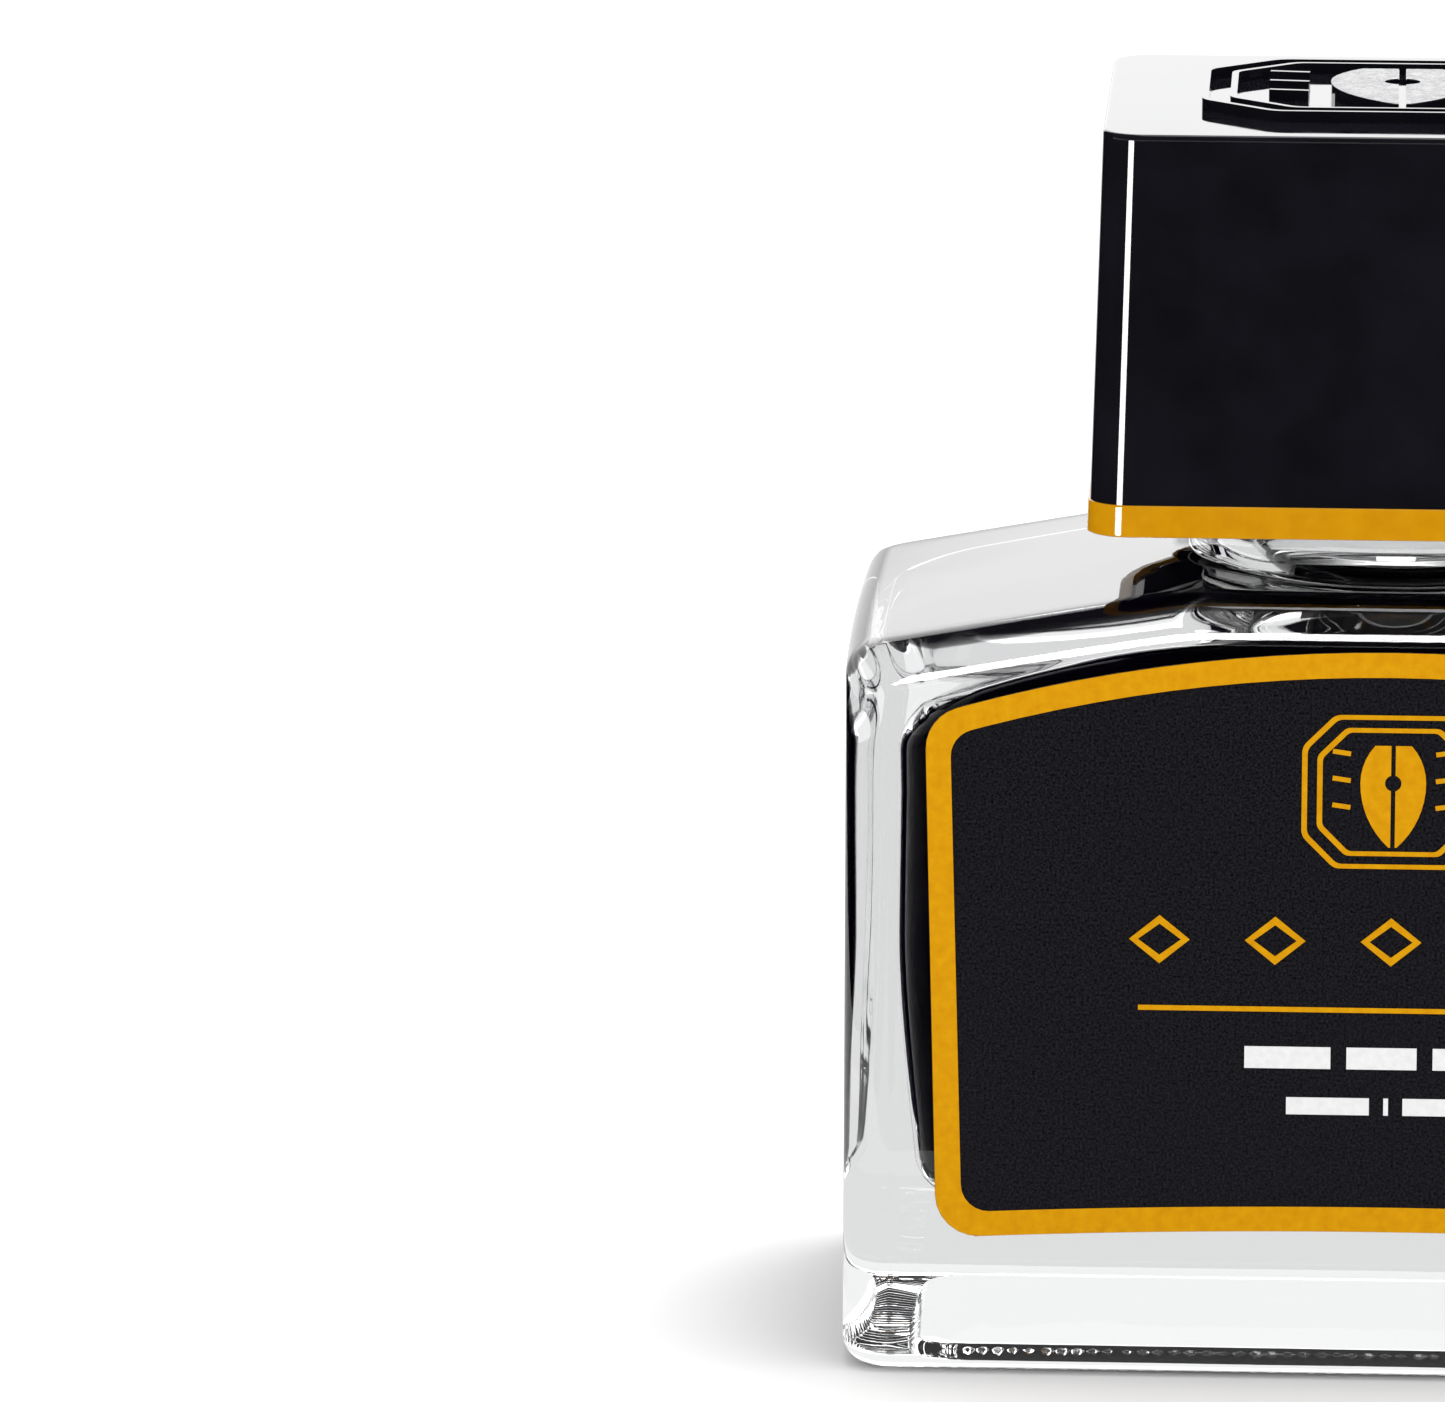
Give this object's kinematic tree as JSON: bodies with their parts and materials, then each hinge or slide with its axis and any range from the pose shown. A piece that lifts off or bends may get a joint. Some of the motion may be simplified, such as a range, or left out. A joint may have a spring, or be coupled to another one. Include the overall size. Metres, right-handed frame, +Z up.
{
  "type": "ink bottle",
  "caption": "Rectangular glass ink bottle with a heavy base, sloping shoulders, a framed front label and a tall square screw cap with a raised emblem.",
  "frame": {"origin": "middle of the base, on the surface the bottle stands on", "axes": "+Z up through the neck, -Y towards the label, +X to the right as seen from the label side"},
  "size_m": [0.07, 0.0377, 0.0798],
  "materials": {
    "glass": "clear polished moulded glass",
    "ink": "opaque black liquid",
    "label_film": "matte black printed film",
    "label_gold": "satin gold print",
    "label_white": "matte white print",
    "liner": "soft closed foam",
    "closure_plastic": "moulded plastic",
    "cap_black": "polished black",
    "cap_gold": "glossy gold band",
    "emblem_satin": "satin silver foil"
  },
  "bodies": {
    "bottle": {"glass_bottle": "glass", "ink": "ink", "label_film": "label_film", "label_frame": "label_gold", "label_emblem": "label_gold", "label_lozenges": "label_gold", "label_rule": "label_gold", "label_caption_bars": "label_white", "label_volume_bars": "label_white"},
    "seal": {"sealing_liner": "liner"},
    "cap": {"threaded_closure": "closure_plastic", "cap_insert": "closure_plastic", "cap_shell": "cap_black", "cap_band": "cap_gold", "cap_emblem_lines": "cap_black", "cap_emblem_plates": "emblem_satin"}
  },
  "joints": [
    {"name": "cap_rise", "type": "slide", "parent": "bottle", "child": "seal", "axis": [0, 0, 1], "range_m": [0, 0.0127]},
    {"name": "cap_turn", "type": "hinge", "parent": "seal", "child": "cap", "pos_m": [0, 0, 0.0628], "axis": [0, 0, 1], "range_deg": [0, 1080]}
  ],
  "couplings": [
    {"joint": "cap_rise", "follows": "cap_turn", "m_per_rad": 0.00066845}
  ]
}
